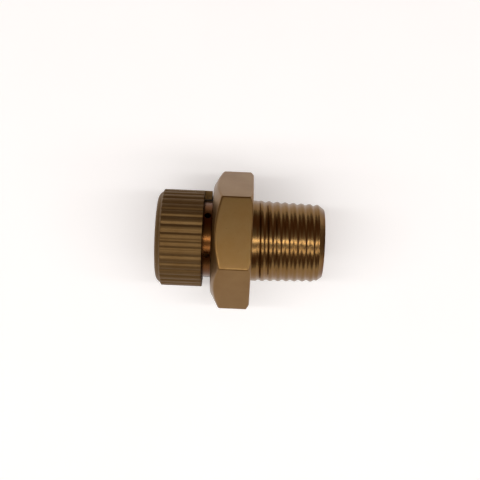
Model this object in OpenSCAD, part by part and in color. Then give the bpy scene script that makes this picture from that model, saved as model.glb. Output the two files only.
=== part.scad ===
// Adjustable water pressure regulator: a hexagonal brass body that screws into a quarter-inch
// taper pipe port, a spring-loaded poppet inside it, and a knurled knob that loads the spring.
// The part's axis is X. The origin is on the axis, in the plane of the hexagon's shoulder on the
// thread side. The thread points to +X and the knob to -X. It lies on a flat of the hexagon.

/* [Hexagon and neck] */
// Width across the hexagon's flats
hex_flats = 20; // [19:0.5:22]
// Length of the hexagon
hex_length = 6.5; // [6:0.1:8]
// Diameter of the hexagon's round face on the knob side
hex_face_d = 17.7; // [17:0.1:19]
// Length of the hexagon's conical chamfer on the knob side
hex_chamfer = 1.55; // [1:0.05:2]
// Diameter of the neck under the knob
neck_d = 12.7; // [12.6:0.1:12.8]

/* [Pipe thread] */
// Length from the shoulder to the end of the stem
stem_length = 11.8; // [11.6:0.1:12]
// Crest diameter at the gauge plane
thread_d = 13.157; // [13:0.001:13.3]
// Distance from the stem's end to the gauge plane
gauge_length = 6; // [5:0.1:7]
// Thread pitch
thread_pitch = 1.337; // [1.3:0.001:1.4]
// Depth from crest to root
thread_depth = 0.35; // [0.2:0.05:0.85]
// Length of the chamfer at the stem's end
stem_chamfer = 1; // [0.6:0.1:1.1]

/* [Knob] */
// Diameter over the knurl's ridges
knob_d = 16; // [15.8:0.1:16.4]
// Length of the knob without its stop lug
knob_length = 7.6; // [7.5:0.1:8.6]
// Gap between the hexagon and the knob
knob_gap = 1.5; // [1.4:0.1:1.6]
// Number of ridges
knurl_count = 38; // [30:1:42]
// Depth of the grooves between the ridges
knurl_depth = 0.3; // [0.2:0.05:0.4]
// Width of the stop lug on the rim, in degrees
lug_angle = 16; // [14:1:18]

/* [Mechanism] */
// Bore diameter of the spring chamber
chamber_d = 8.3; // [8.2:0.1:8.3]
// Width across the flats of the broached part of the chamber
broach_flats = 8.4; // [8.35:0.05:8.5]
// Crest diameter of the spindle's adjusting thread
spindle_thread_d = 4; // [3.8:0.1:4]
// Diameter of the hole in the seat
orifice_d = 3.6; // [3:0.1:3.8]
// Wire diameter of the spring
wire_d = 0.84; // [0.7:0.02:0.86]
// Turns of the spring, one closed turn at each end included
spring_turns = 5; // [4:0.5:5.5]

/* [Hidden] */
smooth = 96;
cut = 0.5;              // how far a cutting solid runs past the face it opens
brass = "#8c6a3f";
dark_brass = "#6d5230";
steel = "#b8babc";
nitrile = "#1d1d1e";
ptfe = "#ecebe4";

// places along the axis, from the thread's end to the knob's face
stem_end = stem_length;
gauge_x = stem_length - gauge_length;
taper = 1 / 32;         // change of radius per length of a 1 in 16 taper
hex_left = -hex_length;
rim_x = hex_left - knob_gap;
knob_left = rim_x - knob_length;
neck_left = rim_x - 4;
web_right = neck_left - 0.5;
web_left = web_right - 1.6;
neck_r = neck_d / 2;
corner_r = hex_flats / 2 / cos(30);

// stem: plain shank, ring threads, chamfer
shank_length = 0.9;
shank_r = 6.69;
thread_turns = 7;
crest_land = 0.4 * thread_pitch;
root_land = 0.2 * thread_pitch;
flank = (thread_pitch - crest_land - root_land) / 2;
stem_bore_r = 4.2;
seat_shoulder = 5.6;
seat_opening_r = 3.3;
chamber_right = 4.6;
clip_groove = [10.6, 11.1];
clip_groove_r = 4.55;

// gland nut, spindle and follower
gland_bore_r = 5;
gland_bore_right = neck_left + 2.7;
gland_left = neck_left - 0.3;
gland_right = gland_left + 2;
gland_r = 4.97;
shaft_r = 2.5;
shaft_hole_r = 2.56;
washer_thick = 0.38;
collar_left = gland_right + 0.4;
collar_right = collar_left + 0.8;
collar_r = 3.9;
spindle_end = -4.4;
spindle_pitch = 0.8;
drive_flats = 3.6;
follower_left = collar_right + 0.4;
follower_length = 2.6;
follower_right = follower_left + follower_length;
broach_end = follower_right + 2.4;      // 0.2 past the follower at the end of its travel
spigot_r = 2.6;
spring_washer_thick = 0.3;

// knob
knob_r = knob_d / 2;
skirt_r = neck_r + 0.15;
recess_r = 4.5;
lug_length = 1.2;
lug_r = knob_r - knurl_depth - 0.1;     // just inside the floors of the grooves
face_chamfer = 0.8;
knob_washer_thick = 0.35;

// stop pin and vents
pin_r = 0.6;
pin_circle_r = 7.2;
pin_angle = -15;        // from +Y towards +Z; the knob's lug is at 0 when it is closed
pin_depth = 2;
vent_r = 0.55;
vent_x = hex_left - knob_gap / 2;

// rings and grooves: [centre along X, centre radius, section radius]
friction_ring = [rim_x - 0.8, neck_r - 0.35, 0.47];
seat_ring = [6.85, 3.83, 0.36];
gland_ring = [gland_right - 0.45, 4.65, 0.33];
spindle_ring = [gland_right - 0.81, 2.96, 0.4];
packing_groove_r = 3.4;

// seat, poppet and spring
seat_lip_x = 4.9;
seat_right = 8.6;
seat_r = 4.15;
poppet_face = 3.6;
poppet_flange = [2.4, 3.9];
poppet_r = chamber_d / 2 - 0.05;
spring_left = follower_right + spring_washer_thick;
spring_right = poppet_flange[0];
spring_r = 3.3;
spring_sides = 8;
spring_steps = 24;
cup_right = clip_groove[0];
cup_thick = 0.3;
cup_outer_r = 4.15;
screen_pitch = 0.95;

function crest_r(x) = thread_d / 2 - (x - gauge_x) * taper;
function turn_start(i) = shank_length + i * thread_pitch;
function land_r(i) = crest_r(turn_start(i + 1) - crest_land / 2);
function root_r(i) = crest_r(turn_start(i) + flank + root_land / 2) - thread_depth;

// a profile of [radius, x] points turned about the part's axis
module turned(points) {
    rotate([0, 90, 0])
        rotate_extrude($fn = smooth)
            polygon(points);
}

// a plain ring or disc between two places on the axis
module tube(r_in, r_out, x0, x1) {
    turned([[r_in, x0], [r_out, x0], [r_out, x1], [r_in, x1]]);
}

// a solid cylinder along X
module rod(r, x0, x1) {
    translate([x0, 0, 0])
        rotate([0, 90, 0])
            cylinder(r = r, h = x1 - x0, $fn = smooth);
}

// a hexagonal bar along X with flats facing +Z and -Z
module hex_bar(flats, x0, x1) {
    translate([x0, 0, 0])
        rotate([0, 90, 0])
            rotate(30)
                linear_extrude(x1 - x0)
                    circle(r = flats / 2 / cos(30), $fn = 6);
}

// a ring of round section: ring = [x, centre radius, section radius]
module o_ring(ring) {
    translate([ring[0], 0, 0])
        rotate([0, 90, 0])
            rotate_extrude($fn = smooth)
                translate([ring[1], 0])
                    circle(r = ring[2], $fn = smooth);
}

// children, made at the axis, moved out to a radius and an angle from +Y towards +Z
module around(angle, radius) {
    rotate([angle, 0, 0])
        translate([0, radius, 0])
            children();
}

module thread_stem() {
    ridges = [for (i = [0:thread_turns - 1]) each [
        [root_r(i), turn_start(i) + flank],
        [root_r(i), turn_start(i) + flank + root_land],
        [land_r(i), turn_start(i + 1) - crest_land],
        [land_r(i), turn_start(i + 1)]
    ]];
    chamfer_x = stem_end - stem_chamfer;
    turned(concat(
        [[0, -1], [shank_r, -1], [shank_r, shank_length]],
        ridges,
        [[land_r(thread_turns - 1), chamfer_x], [shank_r - stem_chamfer, stem_end], [0, stem_end]]
    ));
}

module chamfered_hexagon() {
    right_chamfer = 0.5;
    intersection() {
        hex_bar(hex_flats, hex_left, 0);
        turned([
            [0, hex_left],
            [hex_face_d / 2, hex_left],
            [corner_r + 0.1, hex_left + hex_chamfer],
            [corner_r + 0.1, -right_chamfer],
            [corner_r - 0.75, 0],
            [0, 0]
        ]);
    }
}

module neck() {
    chamfer = 0.4;
    groove_half = 0.5;
    floor_r = friction_ring[1] - friction_ring[2];
    turned([
        [0, neck_left],
        [neck_r - chamfer, neck_left],
        [neck_r, neck_left + chamfer],
        [neck_r, friction_ring[0] - groove_half],
        [floor_r, friction_ring[0] - groove_half],
        [floor_r, friction_ring[0] + groove_half],
        [neck_r, friction_ring[0] + groove_half],
        [neck_r, hex_left + 1],
        [0, hex_left + 1]
    ]);
}

module body_bores() {
    mouth_chamfer = 0.3;
    rod(gland_bore_r, neck_left - cut, gland_bore_right);
    hex_bar(broach_flats, gland_bore_right - cut, broach_end);
    rod(chamber_d / 2, broach_end - cut, chamber_right);
    rod(seat_opening_r, chamber_right - cut, seat_shoulder + cut);
    rod(stem_bore_r, seat_shoulder, stem_end + cut);
    rod(clip_groove_r, clip_groove[0], clip_groove[1]);
    turned([
        [0, stem_end - mouth_chamfer],
        [stem_bore_r, stem_end - mouth_chamfer],
        [stem_bore_r + 2 * mouth_chamfer, stem_end + mouth_chamfer],
        [0, stem_end + mouth_chamfer]
    ]);
}

module valve_body() {
    color(brass)
        difference() {
            union() {
                neck();
                chamfered_hexagon();
                thread_stem();
            }
            body_bores();
            for (angle = [0:60:300])
                rotate([angle, 0, 0])
                    translate([vent_x, chamber_d / 2 - 0.4, 0])
                        rotate([-90, 0, 0])
                            cylinder(r = vent_r, h = 4, $fn = smooth);
            around(pin_angle, pin_circle_r)
                rod(pin_r, hex_left - cut, hex_left + pin_depth);
        }
}

module stop_pin() {
    tip_chamfer = 0.15;
    color(steel)
        around(pin_angle, pin_circle_r)
            turned([
                [0, hex_left - lug_length],
                [pin_r - tip_chamfer, hex_left - lug_length],
                [pin_r, hex_left - lug_length + tip_chamfer],
                [pin_r, hex_left + pin_depth],
                [0, hex_left + pin_depth]
            ]);
}

module seat_insert() {
    lip_r = orifice_d / 2 + 0.3;
    groove_r = seat_ring[1] - seat_ring[2];
    groove_half = 0.42;
    mouth_r = 3.2;
    mouth_depth = 1.5;
    color(brass)
        turned([
            [orifice_d / 2, seat_lip_x],
            [lip_r, seat_lip_x],
            [seat_opening_r - 0.15, seat_shoulder],
            [seat_r, seat_shoulder],
            [seat_r, seat_ring[0] - groove_half],
            [groove_r, seat_ring[0] - groove_half],
            [groove_r, seat_ring[0] + groove_half],
            [seat_r, seat_ring[0] + groove_half],
            [seat_r, seat_right],
            [mouth_r, seat_right],
            [orifice_d / 2, seat_right - mouth_depth]
        ]);
}

module seat_oring() {
    color(nitrile) o_ring(seat_ring);
}

module inlet_strainer() {
    hole_r = 0.42;
    rows = [[0, 1], [1.25, 6], [2.5, 12]];
    color(steel)
        difference() {
            rod(cup_outer_r, seat_right, cup_right);
            rod(cup_outer_r - cup_thick, seat_right + cup_thick, cup_right + cut);
            for (row = rows)
                for (i = [0:row[1] - 1])
                    around(i * 360 / row[1], row[0])
                        rod(hole_r, seat_right - cut, seat_right + cup_thick + cut);
        }
}

module strainer_screen() {
    screen_r = cup_outer_r - cup_thick - 0.05;
    left = seat_right + cup_thick;
    thick = 0.16;
    hole = 0.6;
    reach = 3;
    color(steel)
        difference() {
            rod(screen_r, left, left + thick);
            for (i = [-reach:reach])
                for (j = [-reach:reach])
                    if (norm([i, j]) * screen_pitch < screen_r - 0.6)
                        translate([left + thick / 2, i * screen_pitch, j * screen_pitch])
                            cube([1, hole, hole], center = true);
        }
}

module strainer_clip() {
    ring_in = 3.65;
    opening = 40;
    side_gap = 0.03;
    ear_r = 0.62;
    ear_hole_r = 0.28;
    ear_circle_r = 3.55;
    x0 = clip_groove[0] + side_gap;
    x1 = clip_groove[1] - side_gap;
    color(steel)
        difference() {
            union() {
                translate([x0, 0, 0])
                    rotate([0, 90, 0])
                        rotate([0, 0, opening / 2])
                            rotate_extrude(angle = 360 - opening, $fn = smooth)
                                translate([ring_in, 0])
                                    square([clip_groove_r - 0.05 - ring_in, x1 - x0]);
                for (side = [-1, 1])
                    around(-90 + side * opening / 2, ear_circle_r)
                        rod(ear_r, x0, x1);
            }
            for (side = [-1, 1])
                around(-90 + side * opening / 2, ear_circle_r)
                    rod(ear_hole_r, x0 - cut, x1 + cut);
        }
}

module gland_nut() {
    groove = [gland_ring[0] - 0.35, gland_ring[0] + 0.35];
    floor_r = gland_ring[1] - gland_ring[2];
    packing = [gland_left + 0.4, gland_right - 0.4];
    spanner_hole_r = 0.5;
    spanner_circle_r = 4.2;
    spanner_depth = 0.5;
    color(dark_brass)
        difference() {
            turned([
                [shaft_hole_r, gland_left],
                [gland_r - 0.2, gland_left],
                [gland_r, gland_left + 0.2],
                [gland_r, groove[0]],
                [floor_r, groove[0]],
                [floor_r, groove[1]],
                [gland_r, groove[1]],
                [gland_r, gland_right],
                [shaft_hole_r, gland_right],
                [shaft_hole_r, packing[1]],
                [packing_groove_r, packing[1]],
                [packing_groove_r, packing[0]],
                [shaft_hole_r, packing[0]]
            ]);
            for (angle = [0, 180])
                around(angle, spanner_circle_r)
                    rod(spanner_hole_r, gland_left - cut, gland_left + spanner_depth);
        }
}

module gland_oring() {
    color(nitrile) o_ring(gland_ring);
}

module spindle_oring() {
    color(nitrile) o_ring(spindle_ring);
}

module spindle_backup_ring() {
    left = gland_left + 0.42;
    color(ptfe) tube(shaft_hole_r, packing_groove_r - 0.05, left, left + 0.34);
}

module thrust_washer() {
    color(ptfe) tube(shaft_hole_r, collar_r + 0.2, gland_right, gland_right + washer_thick);
}

module knob_friction_ring() {
    color(nitrile) o_ring(friction_ring);
}

// outline of the knurl: a flat-topped ridge and a V groove for each of knurl_count pitches
module knurl_outline(radius) {
    pitch = 360 / knurl_count;
    ridge = pitch * 0.5;
    polygon([for (i = [0:knurl_count - 1]) each [
        radius * [cos(i * pitch - ridge / 2), sin(i * pitch - ridge / 2)],
        radius * [cos(i * pitch + ridge / 2), sin(i * pitch + ridge / 2)],
        (radius - knurl_depth) * [cos((i + 0.5) * pitch), sin((i + 0.5) * pitch)]
    ]]);
}

module knob_shell() {
    intersection() {
        translate([knob_left, 0, 0])
            rotate([0, 90, 0])
                linear_extrude(knob_length)
                    knurl_outline(knob_r);
        turned([
            [0, knob_left],
            [knob_r - 1.2, knob_left],
            [knob_r - 0.35, knob_left + face_chamfer],
            [knob_r + 0.1, knob_left + face_chamfer + 0.25],
            [knob_r + 0.1, rim_x],
            [0, rim_x]
        ]);
    }
}

module stop_lug() {
    translate([rim_x - 1, 0, 0])
        rotate([0, 90, 0])
            rotate(90 - lug_angle / 2)
                rotate_extrude(angle = lug_angle, $fn = smooth)
                    translate([skirt_r, 0])
                        square([lug_r - skirt_r, 1 + lug_length]);
}

module knob() {
    drive_play = 0.04;
    color(brass)
        difference() {
            union() {
                knob_shell();
                stop_lug();
            }
            rod(skirt_r, web_right, rim_x + lug_length + cut);
            rod(recess_r, knob_left - cut, web_left);
            intersection() {
                translate([(web_left + web_right) / 2, 0, 0])
                    cube([4, drive_flats + drive_play, drive_flats + drive_play], center = true);
                rod(shaft_r + drive_play, web_left - cut, web_right + cut);
            }
        }
}

module adjusting_spindle() {
    drive_left = web_left + 0.1;
    drive_right = web_right + cut;  // runs into the shaft, so that the two join
    root_r = spindle_thread_d / 2 - 0.3;
    crest = spindle_thread_d / 2;
    first = collar_right + 0.5;
    rings = floor((spindle_end - first) / spindle_pitch);
    threads = [for (i = [0:rings - 1]) each [
        [root_r, first + i * spindle_pitch],
        [root_r, first + (i + 0.25) * spindle_pitch],
        [crest, first + (i + 0.5) * spindle_pitch],
        [crest, first + (i + 0.75) * spindle_pitch]
    ]];
    color(dark_brass)
        difference() {
            union() {
                turned(concat(
                    [[0, web_right], [shaft_r, web_right], [shaft_r, collar_left],
                        [collar_r, collar_left], [collar_r, collar_right], [root_r, collar_right]],
                    threads,
                    [[root_r, spindle_end], [0, spindle_end]]
                ));
                intersection() {
                    translate([(drive_left + drive_right) / 2, 0, 0])
                        cube([drive_right - drive_left, drive_flats, drive_flats], center = true);
                    rod(shaft_r, drive_left - cut, drive_right + cut);
                }
            }
            rod(1, drive_left - cut, web_right + 1.6);
        }
}

module knob_washer() {
    color(steel) tube(1.05, 2.9, web_left - knob_washer_thick, web_left);
}

module knob_screw() {
    head_right = web_left - knob_washer_thick;
    head_left = head_right - 1;
    head_r = 1.95;
    slot_w = 0.5;
    slot_depth = 0.5;
    edge = 0.2;
    color(steel)
        difference() {
            turned([
                [0, head_left],
                [head_r - edge, head_left],
                [head_r, head_left + edge],
                [head_r, head_right],
                [1, head_right],
                [1, web_right + 1.4],
                [0, web_right + 1.4]
            ]);
            translate([head_left, 0, 0])
                cube([2 * slot_depth, slot_w, 2 * head_r + 1], center = true);
        }
}

module spring_follower() {
    clearance = 0.2;
    thread_clearance = 0.06;
    spigot_length = 0.8;
    color(dark_brass)
        difference() {
            union() {
                intersection() {
                    hex_bar(broach_flats - clearance, follower_left, follower_right);
                    rod(chamber_d / 2 + 0.2, follower_left - cut, follower_right + cut);
                }
                rod(spigot_r, follower_right - cut, follower_right + spigot_length);
            }
            rod(spindle_thread_d / 2 + thread_clearance, follower_left - cut, follower_right + 2);
        }
}

module spring_washer() {
    color(steel) tube(spigot_r + 0.05, chamber_d / 2 - 0.25, follower_right, spring_left);
}

module main_spring() {
    wire_r = wire_d / 2;
    closed_pitch = wire_d * 1.04;
    active = spring_right - spring_left - wire_d - 2 * closed_pitch;
    active_pitch = active / (spring_turns - 2);
    rings = spring_turns * spring_steps;
    function wire_x(t) = spring_left + wire_r
        + min(t, 1) * closed_pitch
        + min(max(t - 1, 0), spring_turns - 2) * active_pitch
        + max(t - spring_turns + 1, 0) * closed_pitch;
    points = [for (k = [0:rings]) for (s = [0:spring_sides - 1])
        let (
            angle = 360 * k / spring_steps,
            side = 360 * s / spring_sides,
            radius = spring_r + wire_r * cos(side)
        )
        [wire_x(k / spring_steps) + wire_r * sin(side), radius * cos(angle), radius * sin(angle)]];
    walls = [for (k = [0:rings - 1]) for (s = [0:spring_sides - 1])
        let (
            next = (s + 1) % spring_sides,
            here = k * spring_sides,
            there = here + spring_sides
        )
        [here + s, here + next, there + next, there + s]];
    first_end = [for (s = [spring_sides - 1:-1:0]) s];
    last_end = [for (s = [0:spring_sides - 1]) rings * spring_sides + s];
    color(steel) polyhedron(points, concat(walls, [first_end, last_end]));
}

module poppet() {
    spigot_left = 1.4;
    cup_r = 3.4;
    cup_end = 4.3;
    seal_r = 2.95;
    flute_r = 0.8;
    color(dark_brass)
        difference() {
            turned([
                [0, spigot_left],
                [spigot_r - 0.3, spigot_left],
                [spigot_r, spigot_left + 0.3],
                [spigot_r, poppet_flange[0]],
                [poppet_r, poppet_flange[0]],
                [poppet_r, poppet_flange[1]],
                [cup_r, poppet_flange[1]],
                [cup_r, cup_end],
                [seal_r, cup_end],
                [seal_r, poppet_face],
                [0, poppet_face]
            ]);
            for (angle = [0:60:300])
                around(angle, poppet_r + 0.2)
                    rod(flute_r, poppet_flange[0] - cut, poppet_flange[1] + cut);
        }
}

module poppet_seal() {
    color(nitrile) rod(2.9, poppet_face, seat_lip_x);
}

valve_body();
stop_pin();
seat_insert();
seat_oring();
inlet_strainer();
strainer_screen();
strainer_clip();
gland_nut();
gland_oring();
spindle_oring();
spindle_backup_ring();
thrust_washer();
knob_friction_ring();
knob();
adjusting_spindle();
knob_washer();
knob_screw();
spring_follower();
spring_washer();
main_spring();
poppet();
poppet_seal();
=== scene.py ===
import math

import bmesh
import bpy
import numpy as np
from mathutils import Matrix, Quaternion, Vector


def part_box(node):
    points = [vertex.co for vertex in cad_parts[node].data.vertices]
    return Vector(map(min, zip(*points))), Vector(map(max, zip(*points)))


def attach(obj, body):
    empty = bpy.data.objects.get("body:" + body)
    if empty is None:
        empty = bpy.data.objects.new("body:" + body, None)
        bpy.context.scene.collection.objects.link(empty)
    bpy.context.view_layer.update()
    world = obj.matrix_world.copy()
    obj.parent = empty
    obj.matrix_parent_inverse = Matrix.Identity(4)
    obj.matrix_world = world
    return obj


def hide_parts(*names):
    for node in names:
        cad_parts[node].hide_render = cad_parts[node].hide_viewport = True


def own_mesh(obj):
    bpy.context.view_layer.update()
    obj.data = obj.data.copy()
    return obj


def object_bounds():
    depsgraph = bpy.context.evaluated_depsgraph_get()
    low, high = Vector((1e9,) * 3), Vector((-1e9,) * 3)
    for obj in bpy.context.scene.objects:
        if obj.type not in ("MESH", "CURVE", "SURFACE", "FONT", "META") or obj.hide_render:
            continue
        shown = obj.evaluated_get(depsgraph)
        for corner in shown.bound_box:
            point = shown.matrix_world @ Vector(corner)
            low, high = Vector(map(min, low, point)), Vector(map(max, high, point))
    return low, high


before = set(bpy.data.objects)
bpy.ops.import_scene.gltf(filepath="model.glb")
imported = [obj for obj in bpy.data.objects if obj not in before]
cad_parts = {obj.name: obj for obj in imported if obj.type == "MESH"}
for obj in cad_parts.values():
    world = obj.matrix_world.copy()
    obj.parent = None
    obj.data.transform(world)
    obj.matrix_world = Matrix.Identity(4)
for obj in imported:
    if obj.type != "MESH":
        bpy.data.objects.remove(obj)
cad_low, cad_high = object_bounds()

MM = 0.001

# ---------------------------------------------------------------- sizes from the frame, in millimetres
body_low, body_high = (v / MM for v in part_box("valve_body"))
knob_low, knob_high = (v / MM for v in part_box("knob"))
spindle_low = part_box("adjusting_spindle")[0] / MM
pin_low, pin_high = (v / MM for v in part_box("stop_pin"))
friction_low, friction_high = (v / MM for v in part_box("knob_friction_ring"))
screen_low, screen_high = (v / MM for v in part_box("strainer_screen"))
spring_low, spring_high = (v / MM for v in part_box("main_spring"))
washer_low, washer_high = (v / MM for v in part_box("knob_washer"))
screw_low, screw_high = (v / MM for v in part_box("knob_screw"))

STEM_END = body_high.x                  # the thread's end
NECK_LEFT = body_low.x
HALF_FLATS = body_high.z                # half the hexagon's width across flats
NECK_LENGTH = 5.5                       # from the hexagon to the end of the neck
HEX_LEFT = NECK_LEFT + NECK_LENGTH
GLAND_BORE_RIGHT = NECK_LEFT + 2.7
FACE_R = 8.85                           # the hexagon's round face on the knob side
CHAMFER_SLOPE = 1.55 / (11.65 - FACE_R)  # axial length per radius of the conical chamfer
SHOULDER_R = 10.8                       # the round face on the thread side
SHOULDER_SLOPE = 0.67                   # the same for the chamfer on the thread side
NECK_R = 6.35
SHANK_R = 6.69                          # the plain stretch between hexagon and thread
LUG_LENGTH = 1.2                        # the stop lug, from the knob's rim
RIM_X = knob_high.x - LUG_LENGTH
KNOB_LEFT = knob_low.x
KNOB_R = knob_high.z
KNURLS = 38
KNURL_DEPTH = 0.15                      # shallower than the CAD's, for a softer look
WEB_RIGHT = spindle_low.x + 1.5         # the knob's web, which the spindle's square end sits in
WEB_LEFT = washer_high.x

PITCH = 1.337
THREAD_DEPTH = 0.24                     # shallower than the CAD's, for a softer look
GAUGE_R = 13.157 / 2
GAUGE_X = STEM_END - 6                  # the gauge plane
TAPER = 1 / 32                          # change of radius per length


# ---------------------------------------------------------------- mesh helpers
def angle_steps(count):
    """count equal angles round the axis, from +Y towards +Z."""
    return np.arange(count) * 2 * math.pi / count


def corner_arc(half_flats, corner_round):
    """A rounded hexagon corner: how far its centre is from the axis, and the angle where it ends."""
    centre = (half_flats - corner_round) / math.cos(math.radians(30))
    end = math.atan2(corner_round * 0.5, centre + corner_round * math.cos(math.radians(30)))
    return centre, end


def hexagon_angles(half_flats, corner_round):
    """Angles with vertices on the ends of each rounded corner of a hexagon with corners at +Y and -Y."""
    on_arc, on_flat = 6, 26
    end = corner_arc(half_flats, corner_round)[1]
    arc = np.linspace(-end, end, on_arc, endpoint=False)
    flat = np.linspace(end, math.radians(60) - end, on_flat, endpoint=False)
    one = np.concatenate([arc, flat])
    return np.concatenate([one + math.radians(60) * side for side in range(6)])


def hexagon_radius(theta, half_flats, corner_round):
    """Distance from the axis to the outline of that hexagon, at an angle."""
    alpha = abs((theta + math.radians(30)) % math.radians(60) - math.radians(30))
    centre, end = corner_arc(half_flats, corner_round)
    if alpha <= end + 1e-9:
        return centre * math.cos(alpha) + math.sqrt(corner_round**2 - (centre * math.sin(alpha)) ** 2)
    return half_flats / math.cos(math.radians(30) - alpha)


def rounded(points):
    """An open profile of (x, r, cut), with each corner rounded over a distance cut or less."""
    steps = 4
    out = []
    for i, (x, r, cut) in enumerate(points):
        here = np.array([x, r])
        if cut == 0 or i in (0, len(points) - 1):
            out.append(here)
            continue
        back = np.array(points[i - 1][:2]) - here
        on = np.array(points[i + 1][:2]) - here
        a, b = np.hypot(*back), np.hypot(*on)
        size = min(cut, 0.45 * a, 0.45 * b)
        start = here + back / max(a, 1e-9) * size
        end = here + on / max(b, 1e-9) * size
        for t in np.linspace(0, 1, steps + 1):
            out.append((1 - t) ** 2 * start + 2 * t * (1 - t) * here + t**2 * end)
    return np.array(out)


def turned_grid(columns, angles):
    """Vertices of a grid: one column of (x, r) for each angle."""
    x, r = columns[:, :, 0], columns[:, :, 1]
    return np.stack([x, r * np.cos(angles)[:, None], r * np.sin(angles)[:, None]], axis=-1)


def grid_faces(count, rows, offset=0, shift=0):
    """Quads of a grid that closes round the axis. The last column meets the first one shift rows on."""
    faces = []
    for j in range(count):
        nxt = (j + 1) % count
        move = shift if nxt == 0 else 0
        for i in range(rows - 1):
            if i + move + 1 < rows:
                faces.append((
                    offset + j * rows + i, offset + j * rows + i + 1,
                    offset + nxt * rows + i + 1 + move, offset + nxt * rows + i + move,
                ))
    return faces


def clean_mesh(name, verts, faces, merge=3e-4):
    """A mesh in metres from vertices in millimetres, with doubled vertices merged and normals outward."""
    mesh = bpy.data.meshes.new(name)
    mesh.from_pydata((np.asarray(verts) * MM).tolist(), [], faces)
    bm = bmesh.new()
    bm.from_mesh(mesh)
    bmesh.ops.remove_doubles(bm, verts=bm.verts, dist=merge * MM)
    bmesh.ops.dissolve_degenerate(bm, edges=bm.edges, dist=merge * MM)
    bmesh.ops.recalc_face_normals(bm, faces=bm.faces)
    bm.to_mesh(mesh)
    bm.free()
    return mesh


def add(name, mesh, material, sharp=38, weighted=True):
    """A new object with that mesh and material."""
    obj = bpy.data.objects.new(name, mesh)
    bpy.context.collection.objects.link(obj)
    finish_mesh(obj, material, sharp, weighted)
    return obj


def finish_mesh(obj, material, sharp=38, weighted=True):
    """Smooth shading with sharp edges kept, and one material."""
    mesh = obj.data
    mesh.shade_smooth()
    mesh.set_sharp_from_angle(angle=math.radians(sharp))
    mesh.materials.clear()
    mesh.materials.append(material)
    if weighted:
        normals = obj.modifiers.new("weighted_normals", "WEIGHTED_NORMAL")
        normals.keep_sharp = True
        normals.weight = 80


def turned(name, points, material, count=96, closed=True):
    """A turned piece from a profile of (x, r, cut): a ring if it is closed, or else it ends on the axis."""
    if closed:
        first, last = points[0], points[-1]
        middle = ((first[0] + last[0]) / 2, (first[1] + last[1]) / 2, 0)
        points = [middle, *points, middle]
    profile = rounded(points)
    columns = np.repeat(profile[None], count, axis=0)
    grid = turned_grid(columns, angle_steps(count))
    mesh = clean_mesh(name, grid.reshape(-1, 3), grid_faces(count, len(profile)), merge=1e-4)
    return add(name, mesh, material)


def cut_away(obj, verts, faces):
    """Cuts closed shapes, given in millimetres, out of a piece."""
    mesh = clean_mesh("cutter", verts, faces, merge=1e-5)
    tool = bpy.data.objects.new("cutter", mesh)
    bpy.context.collection.objects.link(tool)
    boolean = obj.modifiers.new("cut", "BOOLEAN")
    boolean.operation = "DIFFERENCE"
    boolean.solver = "EXACT"
    boolean.object = tool
    weighted = [m for m in obj.modifiers if m.type == "WEIGHTED_NORMAL"]
    for m in weighted:
        m.show_viewport = False
    depsgraph = bpy.context.evaluated_depsgraph_get()
    result = bpy.data.meshes.new_from_object(obj.evaluated_get(depsgraph))
    obj.modifiers.remove(boolean)
    obj.data = result
    for m in weighted:
        m.show_viewport = True
    bpy.data.objects.remove(tool, do_unlink=True)


def rods(places, radius):
    """Closed cylinders from a list of (start, end) points in millimetres."""
    sides = 32
    verts, faces = [], []
    for start, end in places:
        axis = Vector(end) - Vector(start)
        across = axis.orthogonal().normalized()
        other = axis.normalized().cross(across)
        base = len(verts)
        for point in (Vector(start), Vector(end)):
            for k in range(sides):
                a = 2 * math.pi * k / sides
                verts.append(point + (across * math.cos(a) + other * math.sin(a)) * radius)
        for k in range(sides):
            n = (k + 1) % sides
            faces.append((base + k, base + n, base + sides + n, base + sides + k))
        faces.append(tuple(base + k for k in reversed(range(sides))))
        faces.append(tuple(base + sides + k for k in range(sides)))
    return verts, faces


def swept(name, path, radius, material):
    """A round wire along a path of points, with flat ends."""
    sides = 16
    path = [Vector(p) for p in path]
    verts, faces = [], []
    across = (path[1] - path[0]).orthogonal().normalized()
    for i, point in enumerate(path):
        ahead = path[min(i + 1, len(path) - 1)] - path[max(i - 1, 0)]
        across = (across - ahead.normalized() * across.dot(ahead.normalized())).normalized()
        other = ahead.normalized().cross(across)
        for k in range(sides):
            a = 2 * math.pi * k / sides
            verts.append(point + (across * math.cos(a) + other * math.sin(a)) * radius)
    for i in range(len(path) - 1):
        for k in range(sides):
            n = (k + 1) % sides
            faces.append((i * sides + k, i * sides + n, (i + 1) * sides + n, (i + 1) * sides + k))
    faces.append(tuple(reversed(range(sides))))
    faces.append(tuple((len(path) - 1) * sides + k for k in range(sides)))
    mesh = clean_mesh(name, verts, faces, merge=1e-5)
    return add(name, mesh, material, sharp=60, weighted=False)


# ---------------------------------------------------------------- materials
def set_stops(ramp, stops):
    """Puts stops of (position, colour) on a colour ramp."""
    while len(ramp.elements) < len(stops):
        ramp.elements.new(0.5)
    for element, (at, colour) in zip(ramp.elements, stops):
        element.position = at
        element.color = (*colour, 1)


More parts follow.
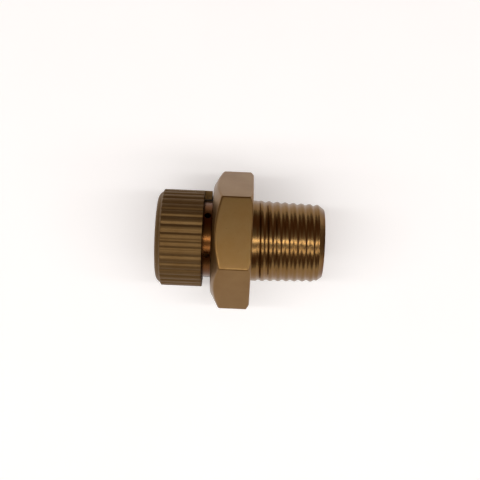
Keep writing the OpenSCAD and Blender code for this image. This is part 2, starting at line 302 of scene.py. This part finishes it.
class Nodes:
    """A short way to write a node tree."""

    def __init__(self, name):
        self.material = bpy.data.materials.new(name)
        self.material.use_nodes = True
        self.tree = self.material.node_tree
        self.tree.nodes.clear()
        self.out = self.tree.nodes.new("ShaderNodeOutputMaterial")
        self.shader = self.tree.nodes.new("ShaderNodeBsdfPrincipled")
        self.link(self.shader.outputs[0], self.out.inputs["Surface"])
        self.place = self.tree.nodes.new("ShaderNodeTexCoord").outputs["Object"]

    def link(self, a, b):
        self.tree.links.new(a, b)

    def put(self, socket, value):
        if isinstance(value, bpy.types.NodeSocket):
            self.link(value, socket)
        else:
            socket.default_value = value

    def math(self, operation, a, b=None, clamp=False):
        node = self.tree.nodes.new("ShaderNodeMath")
        node.operation = operation
        node.use_clamp = clamp
        self.put(node.inputs[0], a)
        if b is not None:
            self.put(node.inputs[1], b)
        return node.outputs[0]

    def stretch(self, factors):
        """The place on the piece, scaled by a factor on each axis."""
        node = self.tree.nodes.new("ShaderNodeVectorMath")
        node.operation = "MULTIPLY"
        self.link(self.place, node.inputs[0])
        node.inputs[1].default_value = factors
        return node.outputs[0]

    def noise(self, vector, scale, detail, rough=0.55):
        node = self.tree.nodes.new("ShaderNodeTexNoise")
        self.put(node.inputs["Vector"], vector)
        node.inputs["Scale"].default_value = scale
        node.inputs["Detail"].default_value = detail
        node.inputs["Roughness"].default_value = rough
        return node.outputs["Fac"]

    def ramp(self, value, stops):
        """stops is a list of (position, grey level)."""
        node = self.tree.nodes.new("ShaderNodeValToRGB")
        self.put(node.inputs[0], value)
        set_stops(node.color_ramp, [(at, (level,) * 3) for at, level in stops])
        return node.outputs["Color"]

    def mix(self, factor, a, b):
        node = self.tree.nodes.new("ShaderNodeMix")
        node.data_type = "RGBA"
        self.put(node.inputs["Factor"], factor)
        for socket, value in ((node.inputs["A"], a), (node.inputs["B"], b)):
            self.put(socket, value if isinstance(value, bpy.types.NodeSocket) else (*value, 1))
        return node.outputs["Result"]

    def bump(self, height, strength, distance, normal=None):
        node = self.tree.nodes.new("ShaderNodeBump")
        node.inputs["Strength"].default_value = strength
        node.inputs["Distance"].default_value = distance
        self.put(node.inputs["Height"], height)
        if normal is not None:
            self.link(normal, node.inputs["Normal"])
        return node.outputs["Normal"]

    def axis_parts(self):
        """Distance along the axis and from it."""
        split = self.tree.nodes.new("ShaderNodeSeparateXYZ")
        self.link(self.place, split.inputs[0])
        y, z = split.outputs["Y"], split.outputs["Z"]
        squares = self.math("ADD", self.math("MULTIPLY", y, y), self.math("MULTIPLY", z, z))
        return split.outputs["X"], self.math("SQRT", squares)


def brass(name, colour, dark, rough, tool_marks=0.25, root_shade=None, drawn=None, shaded=None):
    """Machined brass.

    root_shade is (radius in mm where it is full, radius where it ends): painted shade, in patches, in the
    thread roots, grooves and bores, darker nearer the axis.
    drawn is the radius in mm outside which the bar's drawn flats begin: rougher, with lines along the axis.
    shaded is (from, to) along the axis in mm, a stretch of the neck in the gap between knob and hexagon,
    with painted shade.
    """
    n = Nodes(name)
    x, radius = n.axis_parts()
    cloud = n.noise(n.place, 260, detail=5)
    speck = n.noise(n.place, 2600, detail=3, rough=0.7)
    tarnish = n.ramp(cloud, [(0.35, 0.0), (0.7, 1.0)])
    base = n.mix(tarnish, colour, tuple(c * f for c, f in zip(colour, (0.88, 0.82, 0.72))))
    base = n.mix(n.ramp(speck, [(0.6, 0.0), (0.75, 0.25)]), base, dark)
    # Painted shade, in patches: thread roots, grooves and bores darker nearer the axis.
    if root_shade:
        full, none = root_shade
        depth = n.math("DIVIDE", n.math("SUBTRACT", none * MM, radius), (none - full) * MM, clamp=True)
        patchy = n.math("MULTIPLY", depth, n.ramp(cloud, [(0.25, 0.55), (0.6, 1.0)]))
        base = n.mix(patchy, base, dark)
    # Painted shade on the neck in the gap between knob and hexagon.
    if shaded:
        start, end = shaded
        fade, neck_only = 0.15, 6.9
        after = n.math("DIVIDE", n.math("SUBTRACT", x, (start - fade) * MM), fade * MM, clamp=True)
        before = n.math("DIVIDE", n.math("SUBTRACT", (end + fade) * MM, x), fade * MM, clamp=True)
        inside = n.math("LESS_THAN", radius, neck_only * MM)
        band = n.math("MULTIPLY", n.math("MULTIPLY", after, before), inside)
        base = n.mix(n.math("MULTIPLY", band, 0.95), base, dark)
    n.link(base, n.shader.inputs["Base Color"])
    n.shader.inputs["Metallic"].default_value = 1.0
    marks = n.noise(n.stretch((1.0, 0.02, 0.02)), 9000, detail=2, rough=0.6)
    rings = n.noise(n.stretch((1.0, 0.05, 0.05)), 2400, detail=3, rough=0.5)
    gloss = n.math("ADD", n.math("MULTIPLY", cloud, 0.1), n.math("MULTIPLY", speck, 0.03))
    level = n.math("ADD", gloss, rough - 0.07)
    height = n.math("ADD", marks, rings)
    if drawn:
        flat = n.math("DIVIDE", n.math("SUBTRACT", radius, drawn * MM), 0.4 * MM, clamp=True)
        level = n.math("ADD", level, n.math("MULTIPLY", flat, 0.05))
        lines = n.noise(n.stretch((0.03, 1.0, 1.0)), 7000, detail=3, rough=0.6)
        keep = n.math("SUBTRACT", 1.0, flat)
        height = n.math("ADD", n.math("MULTIPLY", height, keep), n.math("MULTIPLY", lines, flat))
    n.link(level, n.shader.inputs["Roughness"])
    coarse = n.bump(cloud, 0.1, 0.00003)
    n.link(n.bump(height, tool_marks, 0.000012, coarse), n.shader.inputs["Normal"])
    return n.material


def metal(name, colour, rough):
    """Plain steel with fine scratches."""
    n = Nodes(name)
    cloud = n.noise(n.place, 700, detail=4)
    scratch = n.noise(n.stretch((0.04, 1.0, 1.0)), 12000, detail=2)
    n.link(n.mix(cloud, colour, tuple(c * 0.75 for c in colour)), n.shader.inputs["Base Color"])
    n.shader.inputs["Metallic"].default_value = 1.0
    n.link(n.math("ADD", n.math("MULTIPLY", cloud, 0.18), rough - 0.09), n.shader.inputs["Roughness"])
    n.link(n.bump(scratch, 0.2, 0.000008), n.shader.inputs["Normal"])
    return n.material


def soft(name, colour, rough, grain):
    """Rubber or PTFE with a fine moulded grain."""
    n = Nodes(name)
    cloud = n.noise(n.place, 900, detail=4)
    fine = n.noise(n.place, 9000, detail=2)
    n.link(n.mix(cloud, colour, tuple(min(c * 1.35, 1) for c in colour)), n.shader.inputs["Base Color"])
    n.link(n.math("ADD", n.math("MULTIPLY", fine, 0.15), rough - 0.07), n.shader.inputs["Roughness"])
    n.link(n.bump(fine, grain, 0.00001), n.shader.inputs["Normal"])
    return n.material


BRASS = (0.205, 0.117, 0.042)
# Dark brass colour for random specks, and for the painted shade in roots, bores and on the neck.
BRASS_SPECK_AND_SHADE = (0.1, 0.036, 0.009)
# The body's brass has painted shade in its thread roots and bores, and on the neck between knob and
# hexagon.
body_brass = brass(
    "body_brass", BRASS, BRASS_SPECK_AND_SHADE, rough=0.25, tool_marks=0.08,
    root_shade=(5.6, 6.25), drawn=8.4, shaded=(RIM_X - 0.5, HEX_LEFT),
)
knob_brass = brass("knob_brass", (0.152, 0.09, 0.035), BRASS_SPECK_AND_SHADE, rough=0.56, tool_marks=0.12)
inner_brass = brass("inner_brass", (0.42, 0.26, 0.1), BRASS_SPECK_AND_SHADE, rough=0.3)
stainless = metal("stainless", (0.42, 0.41, 0.39), 0.32)
spring_steel = metal("spring_steel", (0.3, 0.3, 0.31), 0.3)
nitrile = soft("nitrile", (0.012, 0.012, 0.013), 0.55, 0.2)
ptfe = soft("ptfe", (0.72, 0.71, 0.66), 0.45, 0.15)


def place(piece, body, *nodes):
    """The piece rides on a body, and the CAD nodes that it stands for are hidden."""
    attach(piece, body)
    if nodes:
        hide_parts(*nodes)
    return piece


# ---------------------------------------------------------------- valve body
CORNER_ROUND = 0.35
STEM_BORE_R = 4.2
STEM_MOUTH_R, STEM_MOUTH_X = 4.5, 11.5  # where the bore opens out at the stem's end
CLIP_GROOVE_R, CLIP_GROOVE_LEFT, CLIP_GROOVE_RIGHT = 4.55, 10.6, 11.1
LEDGE_R, LEDGE_LEFT, LEDGE_RIGHT = 3.3, 4.6, 5.6    # the ledge that the seat insert stands on
CHAMBER_R = 4.15                        # the spring chamber's round part
BROACH_HALF = 4.2                       # half the width across flats of its hexagonal part
BROACH_ROUND = 0.15
BROACH_END = -3.7
GLAND_BORE_R = 5.0
RING_GAP = 0.03                         # room beside the friction ring in its groove
VENT_R = 0.55
VENT_FROM, VENT_TO = 3.6, 7.5           # the vents' cutters, from inside the bore to outside the neck
PIN_HOLE_R = 0.62
END_R = 5.69                            # radius of the stem's end face
CHAMFER_X = STEM_END - 1
GROOVE_HALF = 0.46                      # half a thread groove's width, as a share of the pitch
THREAD_FROM = 0.3                       # the helix's first row
RUN_OUT = (0.45, 1.5)                   # where the thread starts to be cut, and where it is full depth


def thread_radius(x, theta):
    """The taper thread's surface: rounded crests and roots on a right-hand helix."""
    crest = GAUGE_R - (x - GAUGE_X) * TAPER
    phase = (x / PITCH - theta / (2 * math.pi)) % 1
    groove = np.clip(np.abs(phase - 0.5) / GROOVE_HALF, 0, 1)
    height = 0.5 - 0.5 * np.cos(math.pi * groove)
    grow = np.clip((x - RUN_OUT[0]) / (RUN_OUT[1] - RUN_OUT[0]), 0, 1)
    grow = grow * grow * (3 - 2 * grow)
    cut = crest - THREAD_DEPTH * (1 - height)
    radius = SHANK_R + (cut - SHANK_R) * grow
    chamfer_r = GAUGE_R - (CHAMFER_X - GAUGE_X) * TAPER
    cone = END_R + (STEM_END - x) * (chamfer_r - END_R) / (STEM_END - CHAMFER_X)
    blend = 0.03                        # the thread runs into the end chamfer over about this much
    both = radius - blend * np.logaddexp(0, (radius - cone) / blend)
    return np.where(x >= STEM_END - 1e-6, END_R, np.where(x <= THREAD_FROM + 1e-6, SHANK_R, both))


def body_profile(theta):
    """All but the thread: from the stem's end through the bore to the neck, the hexagon and the shank."""
    outline = hexagon_radius(theta, HALF_FLATS, CORNER_ROUND)
    broach = hexagon_radius(theta, BROACH_HALF, BROACH_ROUND)
    shoulder = min(outline - 0.12, SHOULDER_R)
    edge = -max(0.14, (outline - SHOULDER_R) * SHOULDER_SLOPE)
    ring_left, ring_right = friction_low.x, friction_high.x
    floor = friction_high.z - (ring_right - ring_left) - 0.01
    points = [
        (STEM_END, END_R, 0), (STEM_END, STEM_MOUTH_R, 0.1), (STEM_MOUTH_X, STEM_BORE_R, 0.1),
        (CLIP_GROOVE_RIGHT, STEM_BORE_R, 0.03), (CLIP_GROOVE_RIGHT, CLIP_GROOVE_R, 0.06),
        (CLIP_GROOVE_LEFT, CLIP_GROOVE_R, 0.06), (CLIP_GROOVE_LEFT, STEM_BORE_R, 0.03),
        (LEDGE_RIGHT, STEM_BORE_R, 0.08), (LEDGE_RIGHT, LEDGE_R, 0.08),
        (LEDGE_LEFT, LEDGE_R, 0.08), (LEDGE_LEFT, CHAMBER_R, 0.1),
        (BROACH_END, CHAMBER_R, 0.06), (BROACH_END, broach, 0.06),
        (GLAND_BORE_RIGHT, broach, 0.06), (GLAND_BORE_RIGHT, GLAND_BORE_R, 0.06),
        (NECK_LEFT, GLAND_BORE_R, 0.15), (NECK_LEFT, NECK_R - 0.4, 0.1), (NECK_LEFT + 0.4, NECK_R, 0.15),
        (ring_left - RING_GAP, NECK_R, 0.06), (ring_left - RING_GAP, floor, 0.1),
        (ring_right + RING_GAP, floor, 0.1), (ring_right + RING_GAP, NECK_R, 0.06),
        (HEX_LEFT, NECK_R, 0.2), (HEX_LEFT, FACE_R, 0.25),
        (HEX_LEFT + (outline - FACE_R) * CHAMFER_SLOPE, outline, 0.3),
        (edge, outline, 0.12), (0, shoulder, 0.12), (0, SHANK_R, 0.15), (THREAD_FROM, SHANK_R, 0),
    ]
    return rounded(points)


def build_valve_body():
    angles = hexagon_angles(HALF_FLATS, CORNER_ROUND)
    count = len(angles)
    columns = np.array([body_profile(a) for a in angles])
    shell = turned_grid(columns, angles)
    rows_per_turn = 18
    turns = math.ceil((STEM_END - THREAD_FROM) / PITCH) + 1
    rows = rows_per_turn * (turns + 1)
    start = THREAD_FROM - PITCH
    row_x = start + np.arange(rows) * PITCH / rows_per_turn
    x = np.clip(row_x[None] + PITCH * angles[:, None] / (2 * math.pi), THREAD_FROM, STEM_END)
    radius = thread_radius(x, angles[:, None])
    thread = turned_grid(np.stack([x, radius], axis=-1), angles)
    verts = np.concatenate([shell.reshape(-1, 3), thread.reshape(-1, 3)])
    faces = grid_faces(count, shell.shape[1])
    faces += grid_faces(count, rows, offset=shell.shape[0] * shell.shape[1], shift=rows_per_turn)
    mesh = clean_mesh("valve_body_brass", verts, faces)
    body = add("valve_body_brass", mesh, body_brass, sharp=50)
    vent_x = (HEX_LEFT + RIM_X) / 2
    vents = []
    for k in range(6):
        a = math.radians(60 * k)
        vents.append([(vent_x, r * math.cos(a), r * math.sin(a)) for r in (VENT_FROM, VENT_TO)])
    verts, faces = rods(vents, VENT_R)
    pin_y, pin_z = (pin_low.y + pin_high.y) / 2, (pin_low.z + pin_high.z) / 2
    pin_hole = ((HEX_LEFT - 0.2, pin_y, pin_z), (pin_high.x, pin_y, pin_z))
    hole_verts, hole_faces = rods([pin_hole], PIN_HOLE_R)
    faces = faces + [tuple(i + len(verts) for i in f) for f in hole_faces]
    cut_away(body, verts + hole_verts, faces)
    finish_mesh(body, body_brass, sharp=50, weighted=False)
    return place(body, "body", "valve_body")


# ---------------------------------------------------------------- knob
def knurl_radius(theta):
    """Straight knurl: blunt ridges between rounded grooves."""
    share = (theta * KNURLS / (2 * math.pi)) % 1
    away = abs(share - 0.5) * 2         # 0 on the groove's floor, 1 in the middle of a ridge
    groove_share = 0.72
    rise = np.clip(away / groove_share, 0, 1)
    return KNOB_R - KNURL_DEPTH * (0.5 + 0.5 * math.cos(math.pi * rise))


def build_knob():
    per_ridge = 12                      # columns of vertices for each ridge
    count = KNURLS * per_ridge
    angles = angle_steps(count)
    skirt = NECK_R + 0.15
    recess = 4.5                        # radius of the screw's recess in the front
    web_hole = 1.9
    columns = []
    for a in angles:
        r = float(knurl_radius(a))
        front = KNOB_R - 0.42           # radius where the front's smooth band meets the knurl
        points = [
            (WEB_RIGHT, web_hole, 0), (WEB_RIGHT, skirt, 0.2), (RIM_X, skirt, 0.1),
            (RIM_X, r, 0.06),
            (KNOB_LEFT + 0.78 + (r - front) * 0.45, r, 0.1),
            (KNOB_LEFT + 0.72, min(front, r), 0.1),
            (KNOB_LEFT + 0.3, KNOB_R - 0.72, 0.2),
            (KNOB_LEFT, KNOB_R - 1.25, 0.2),
            (KNOB_LEFT, recess, 0.2), (WEB_LEFT, recess, 0.1),
            (WEB_LEFT, web_hole, 0), (WEB_RIGHT, web_hole, 0),
        ]
        columns.append(rounded(points))
    columns = np.array(columns)
    grid = turned_grid(columns, angles)
    mesh = clean_mesh("knob_brass", grid.reshape(-1, 3), grid_faces(count, columns.shape[1]), merge=2e-4)
    bm = bmesh.new()
    bm.from_mesh(mesh)
    half_lug = math.radians(8)
    lug = [
        f for f in bm.faces
        if abs(f.calc_center_median().x - RIM_X * MM) < 2e-5
        and abs(math.atan2(f.calc_center_median().z, f.calc_center_median().y)) < half_lug
        and f.calc_center_median().yz.length > (skirt - 0.2) * MM
    ]
    made = bmesh.ops.extrude_face_region(bm, geom=lug)
    for v in (g for g in made["geom"] if isinstance(g, bmesh.types.BMVert)):
        v.co.x = knob_high.x * MM
    bmesh.ops.delete(bm, geom=lug, context="FACES")
    bmesh.ops.recalc_face_normals(bm, faces=bm.faces)
    bm.to_mesh(mesh)
    bm.free()
    knob = add("knob_brass", mesh, knob_brass, sharp=45)
    return place(knob, "knob", "knob")


# ---------------------------------------------------------------- small pieces that show
def build_stop_pin():
    y, z = (pin_low.y + pin_high.y) / 2, (pin_low.z + pin_high.z) / 2
    r = (pin_high.z - pin_low.z) / 2
    pin = turned("stop_pin_steel", [
        (pin_low.x, 0, 0), (pin_low.x, r, 0.15), (pin_high.x, r, 0.1), (pin_high.x, 0, 0),
    ], stainless, count=40, closed=False)
    for v in pin.data.vertices:
        v.co.y += y * MM
        v.co.z += z * MM
    return place(pin, "body", "stop_pin")


def build_knob_washer():
    hole = 1.05
    washer = turned("knob_washer_steel", [
        (washer_low.x, hole, 0.05), (washer_high.x, hole, 0.05),
        (washer_high.x, washer_high.z, 0.08), (washer_low.x, washer_high.z, 0.08),
    ], stainless)
    return place(washer, "knob", "knob_washer")


def build_knob_screw():
    head_right = washer_low.x
    shank = 1
    screw = turned("knob_screw_steel", [
        (screw_low.x, 0, 0), (screw_low.x, screw_high.z, 0.28), (head_right, screw_high.z, 0.06),
        (head_right, shank, 0.03), (screw_high.x, shank, 0.2), (screw_high.x, 0, 0),
    ], stainless, closed=False)
    slot_depth, slot_half, reach = 0.5, 0.25, 2.4
    slot_x = (screw_low.x - 0.3, screw_low.x + slot_depth)
    verts = [(x, y, z) for x in slot_x for y in (-slot_half, slot_half) for z in (-reach, reach)]
    faces = [(0, 1, 3, 2), (4, 6, 7, 5), (0, 4, 5, 1), (2, 3, 7, 6), (0, 2, 6, 4), (1, 5, 7, 3)]
    cut_away(screw, verts, faces)
    finish_mesh(screw, stainless, sharp=35)
    return place(screw, "knob", "knob_screw")


def wire_ring(name, node, material, body):
    """An O-ring with the size of its CAD node."""
    low, high = (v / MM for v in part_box(node))
    section = (high.x - low.x) / 2
    centre_r = high.z - section
    centre_x = (high.x + low.x) / 2
    around, sides = 128, 24
    angles = angle_steps(around)
    side = np.arange(sides + 1) * 2 * math.pi / sides
    column = np.stack([centre_x + section * np.sin(side), centre_r + section * np.cos(side)], axis=-1)
    grid = turned_grid(np.repeat(column[None], around, axis=0), angles)
    mesh = clean_mesh(name, grid.reshape(-1, 3), grid_faces(around, sides + 1), merge=1e-4)
    return place(add(name, mesh, material, weighted=False), body, node)


def build_screen():
    """Woven wire mesh inside the strainer: two sets of crimped wires."""
    wire = 0.07                         # radius
    pitch = 0.46
    reach = screen_high.z
    x = (screen_low.x + screen_high.x) / 2
    lift = (screen_high.x - screen_low.x) / 2 - wire
    wires = []
    count = int(reach / pitch)
    for direction in (0, 1):
        for k in range(-count, count + 1):
            side = k * pitch
            half = math.sqrt(max(reach**2 - side**2, 0)) - 0.05
            if half < pitch:
                continue
            steps = max(int(half / pitch * 8), 8)
            points = []
            for s in np.linspace(-half, half, steps):
                wave = math.cos(math.pi * s / pitch) * (1 if (k + direction) % 2 else -1)
                offset = x + lift * wave
                points.append((offset, side, s) if direction else (offset, s, side))
            wires.append(points)
    verts, faces = [], []
    sides = 6
    for points in wires:
        base = len(verts)
        for i, p in enumerate(points):
            ahead = Vector(points[min(i + 1, len(points) - 1)]) - Vector(points[max(i - 1, 0)])
            other = Vector((1, 0, 0)).cross(ahead).normalized()
            up = ahead.cross(other).normalized()
            for c in range(sides):
                a = 2 * math.pi * c / sides
                verts.append(Vector(p) + (other * math.cos(a) + up * math.sin(a)) * wire)
        for i in range(len(points) - 1):
            for c in range(sides):
                n = (c + 1) % sides
                faces.append((base + i * sides + c, base + i * sides + n,
                              base + (i + 1) * sides + n, base + (i + 1) * sides + c))
        faces.append(tuple(base + c for c in reversed(range(sides))))
        faces.append(tuple(base + (len(points) - 1) * sides + c for c in range(sides)))
    mesh = clean_mesh("strainer_wire_mesh", verts, faces, merge=1e-5)
    screen = add("strainer_wire_mesh", mesh, stainless, weighted=False)
    return place(screen, "body", "strainer_screen")


# ---------------------------------------------------------------- spring, in two stretches that meet
SPRING_TURNS = 5
WIRE_R = 0.42
SPRING_R = 3.3                          # to the middle of the wire
SPRING_SPLIT = 0.0                      # x where the stretches meet


def spring_x(t):
    """The wire's place along the axis after t turns: one closed turn at each end."""
    left, right = spring_low.x, spring_high.x
    closed = 2 * WIRE_R * 1.04
    active = (right - left - 2 * WIRE_R - 2 * closed) / (SPRING_TURNS - 2)
    return (left + WIRE_R + min(t, 1) * closed + min(max(t - 1, 0), SPRING_TURNS - 2) * active
            + max(t - SPRING_TURNS + 1, 0) * closed)


def build_spring():
    per_turn = 48
    ts = [k / per_turn for k in range(SPRING_TURNS * per_turn + 1)]
    split = min(ts, key=lambda t: abs(spring_x(t) - SPRING_SPLIT))
    stretches = (
        ("main_spring_knob_end", [t for t in ts if t <= split], "follower_travel", spring_low.x),
        ("main_spring_seat_end", [t for t in ts if t >= split], "poppet_lift", spring_high.x),
    )
    for name, times, joint, end in stretches:
        path = [(spring_x(t), SPRING_R * math.cos(2 * math.pi * t), SPRING_R * math.sin(2 * math.pi * t))
                for t in times]
        piece = swept(name, path, WIRE_R, spring_steel)
        place(piece, "body", "main_spring")
        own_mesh(piece)


# ---------------------------------------------------------------- pieces kept from the CAD
KEPT = {
    "seat_insert": inner_brass, "inlet_strainer": stainless, "strainer_clip": spring_steel,
    "gland_nut": inner_brass, "spindle_backup_ring": ptfe, "thrust_washer": ptfe,
    "adjusting_spindle": inner_brass, "spring_follower": inner_brass, "spring_washer": spring_steel,
    "poppet": inner_brass, "poppet_seal": nitrile,
}


def dress_kept():
    """Gives the CAD's own meshes their materials."""
    for node, material in KEPT.items():
        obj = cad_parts[node]
        if not obj.material_slots:
            obj.data.materials.append(material)
        for slot in obj.material_slots:
            slot.link = "OBJECT"
            slot.material = material


build_valve_body()
build_knob()
build_stop_pin()
build_knob_washer()
build_knob_screw()
wire_ring("knob_friction_ring_rubber", "knob_friction_ring", nitrile, "body")
wire_ring("seat_oring_rubber", "seat_oring", nitrile, "body")
wire_ring("gland_oring_rubber", "gland_oring", nitrile, "body")
wire_ring("spindle_oring_rubber", "spindle_oring", nitrile, "body")
build_screen()
build_spring()
dress_kept()


# ---------------------------------------------------------------- floor, light and camera
def build_stage():
    """A sheet of white paper under the part."""
    size = 1.0
    mesh = bpy.data.meshes.new("floor")
    z = cad_low.z
    corners = [(-size, -size, z), (size, -size, z), (size, size, z), (-size, size, z)]
    mesh.from_pydata(corners, [], [(0, 1, 2, 3)])
    floor = bpy.data.objects.new("floor", mesh)
    bpy.context.collection.objects.link(floor)
    n = Nodes("floor_paper")
    grain = n.noise(n.place, 40, detail=4)
    n.link(n.mix(grain, (0.9, 0.9, 0.9), (0.86, 0.86, 0.86)), n.shader.inputs["Base Color"])
    n.shader.inputs["Roughness"].default_value = 0.95
    n.shader.inputs["Specular IOR Level"].default_value = 0.0
    n.shader.inputs["Emission Color"].default_value = (1, 1, 1, 1)
    n.shader.inputs["Emission Strength"].default_value = 0.25
    mesh.materials.append(n.material)


def build_world():
    """Warm brown surroundings, brighter straight overhead, near the horizon and below it."""
    world = bpy.data.worlds.new("studio")
    bpy.context.scene.world = world
    world.use_nodes = True
    tree = world.node_tree
    tree.nodes.clear()
    out = tree.nodes.new("ShaderNodeOutputWorld")
    background = tree.nodes.new("ShaderNodeBackground")
    coord = tree.nodes.new("ShaderNodeTexCoord")
    split = tree.nodes.new("ShaderNodeSeparateXYZ")
    ramp = tree.nodes.new("ShaderNodeValToRGB")
    tree.links.new(coord.outputs["Generated"], split.inputs[0])
    tree.links.new(split.outputs["Z"], ramp.inputs[0])
    tree.links.new(ramp.outputs["Color"], background.inputs["Color"])
    tree.links.new(background.outputs[0], out.inputs["Surface"])
    warm = (0.15, 0.075, 0.04)
    set_stops(ramp.color_ramp, [
        (0.0, (0.5,) * 3), (0.1, (0.35,) * 3), (0.3, warm),
        (0.82, warm), (0.95, (0.24,) * 3), (1.0, (0.22,) * 3),
    ])


def area_light(name, at, size, power, glossy=True):
    """A rectangular lamp that faces the part, size (along X, across)."""
    data = bpy.data.lights.new(name, "AREA")
    data.shape = "RECTANGLE"
    data.size, data.size_y = size
    data.energy = power
    lamp = bpy.data.objects.new(name, data)
    lamp.location = at
    lamp.rotation_mode = "QUATERNION"
    lamp.rotation_quaternion = (-Vector(at)).to_track_quat("-Z", "Y")
    lamp.visible_glossy = glossy
    bpy.context.collection.objects.link(lamp)


def build_camera():
    """Almost straight down, from a little towards -Y, and rolled so that the part leans."""
    elevation, roll = 84.0, 2.4
    distance = 0.157
    target = Vector((-0.0019, 0.0, 0.0))
    e = math.radians(elevation)
    back = Vector((0, -math.cos(e), math.sin(e)))
    data = bpy.data.cameras.new("camera")
    data.lens = 70.6
    data.sensor_width = 36
    data.clip_start = 0.01
    data.clip_end = 20
    camera = bpy.data.objects.new("camera", data)
    camera.location = target + back * distance
    camera.rotation_mode = "QUATERNION"
    turn = Quaternion((0, 0, 1), math.radians(roll))
    camera.rotation_quaternion = (-back).to_track_quat("-Z", "Y") @ turn
    bpy.context.collection.objects.link(camera)
    bpy.context.scene.camera = camera


build_stage()
build_world()
area_light("strip", (0.0, -0.063, 0.6), (1.6, 0.05), 3.2)
area_light("second_strip", (0.0, -0.33, 0.5), (1.6, 0.07), 2.0)
area_light("fill", (0.0, 0.0, 1.0), (1.2, 1.2), 0.3, glossy=False)
build_camera()
bpy.context.scene.view_settings.view_transform = "Standard"
